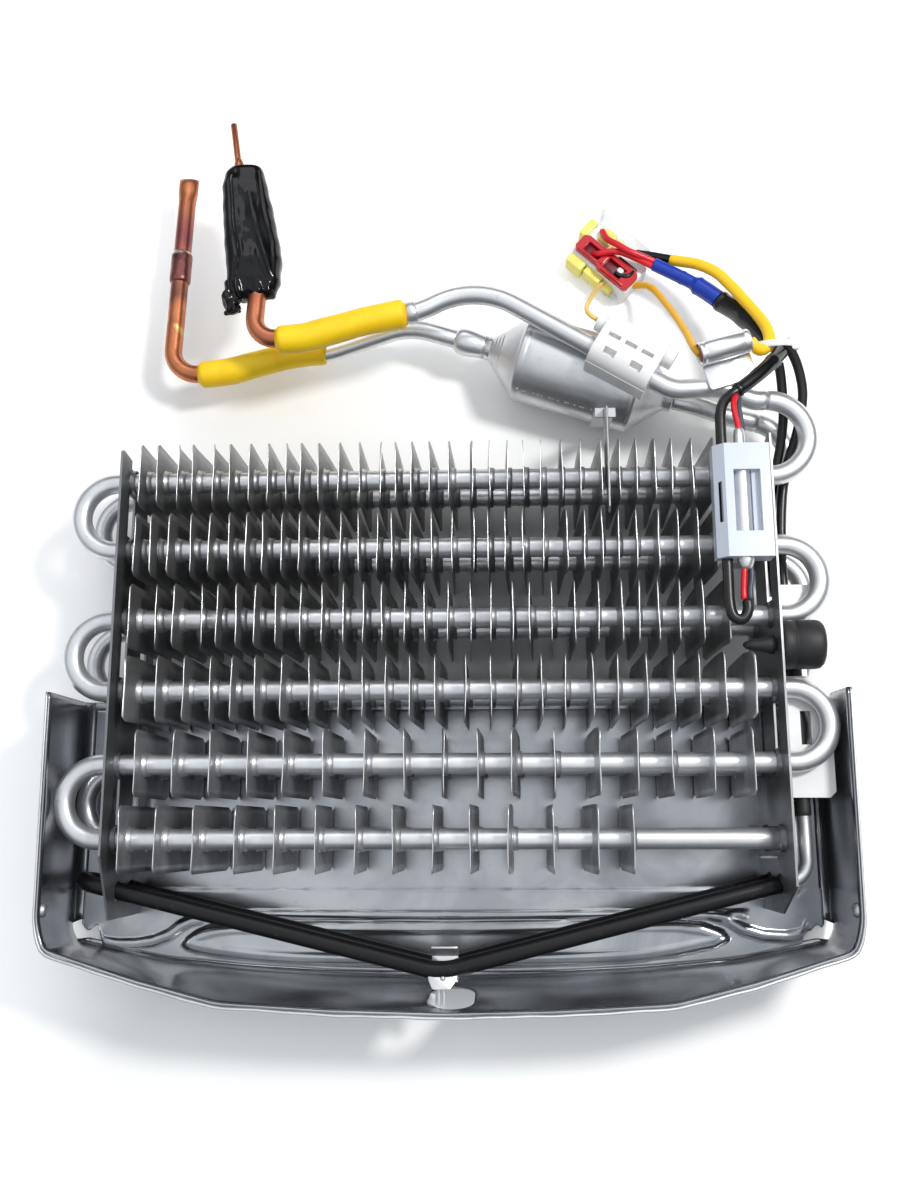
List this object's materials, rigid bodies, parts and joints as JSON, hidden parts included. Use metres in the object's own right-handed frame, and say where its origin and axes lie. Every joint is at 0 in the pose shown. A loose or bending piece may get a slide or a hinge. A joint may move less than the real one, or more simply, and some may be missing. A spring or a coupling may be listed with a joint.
{
  "type": "refrigerator evaporator coil",
  "caption": "Finned aluminium evaporator coil in two banks, in a sheet metal drip tray, with a black defrost heater rod, an accumulator, copper line ends, a sensor and its wiring harness.",
  "frame": {"origin": "on the back face of the drip tray, midway between the two end plates, at the height of the lowest tubes", "axes": "+X along the tubes, to the right seen from the front; +Y up the coil as it is installed, towards the copper lines; +Z from the back of the tray to the front. The coil lies on its back"},
  "size_m": [0.311, 0.3703, 0.0632],
  "materials": {
    "tray_sheet": "plain mill sheet with a rolled edge",
    "plate_sheet": "plain mill sheet, slightly dull",
    "fin_sheet": "thin plain sheet with bright cut edges",
    "coil_tube": "drawn tube, satin",
    "accumulator_shell": "spun tube, satin",
    "strap_metal": "bent strip, satin",
    "rivet_metal": "domed head, satin",
    "foam_yellow": "soft foam tube",
    "copper": "drawn copper with heat marks",
    "copper_dark": "copper darkened by brazing",
    "tape_black": "glossy wrapped tape",
    "nylon_white": "moulded nylon",
    "holder_plastic": "slightly clear moulded plastic",
    "capsule_metal": "drawn cup, satin",
    "wire_red": "wire insulation",
    "rod_black": "black coated rod, satin",
    "rod_end": "bare metal end",
    "rubber_black": "moulded rubber",
    "clip_metal": "bent strip, satin",
    "retainer_yellow": "moulded plastic",
    "lock_red": "moulded plastic",
    "sleeve_blue": "shrunk sleeve",
    "sleeve_black": "shrunk sleeve, glossy",
    "lead_yellow": "smooth sleeve",
    "lead_amber": "wire insulation",
    "lead_pale": "wire insulation",
    "lead_black": "wire insulation",
    "body_brown": "baked phenolic body"
  },
  "bodies": {
    "root": {"drip_tray": "tray_sheet", "tray_rivets": "rivet_metal", "left_end_plate": "plate_sheet", "right_end_plate": "plate_sheet", "fins_row_1": "fin_sheet", "fins_row_2": "fin_sheet", "fins_row_3": "fin_sheet", "fins_row_4": "fin_sheet", "fins_row_5": "fin_sheet", "fins_row_6": "fin_sheet", "front_coil_tube": "coil_tube", "rear_coil_tube": "coil_tube", "inlet_pipe": "coil_tube", "outlet_pipe": "coil_tube", "accumulator": "accumulator_shell", "suction_pipe": "coil_tube", "joint_collar": "strap_metal", "accumulator_strap": "strap_metal", "upper_sleeve": "foam_yellow", "lower_sleeve": "foam_yellow", "inlet_copper_elbow": "copper", "sealing_tape": "tape_black", "capillary_tube": "copper", "suction_copper_riser": "copper", "suction_coupling": "copper_dark", "fuse_clip": "nylon_white", "thermostat_sheath": "capsule_metal", "thermostat_body": "body_brown", "sensor_holder": "holder_plastic", "sensor_capsule": "capsule_metal", "sensor_red_wires": "wire_red", "heater_rod": "rod_black", "heater_ends": "rod_end", "heater_end_sleeves": "rubber_black", "heater_clip": "clip_metal", "lead_cover": "nylon_white", "rubber_buffer": "rubber_black", "cable_tie": "nylon_white", "connector_housing": "nylon_white", "connector_retainer": "retainer_yellow", "connector_lock": "lock_red", "harness_wires": "wire_red", "blue_sleeve": "sleeve_blue", "black_sleeve": "sleeve_black", "splice_sleeve": "sleeve_black", "sleeved_lead": "lead_yellow", "thermostat_lead": "lead_amber", "fuse_lead": "lead_pale", "sensor_cable": "lead_black", "heater_lead_front": "lead_black", "heater_lead_rear": "lead_black"}
  },
  "joints": []
}
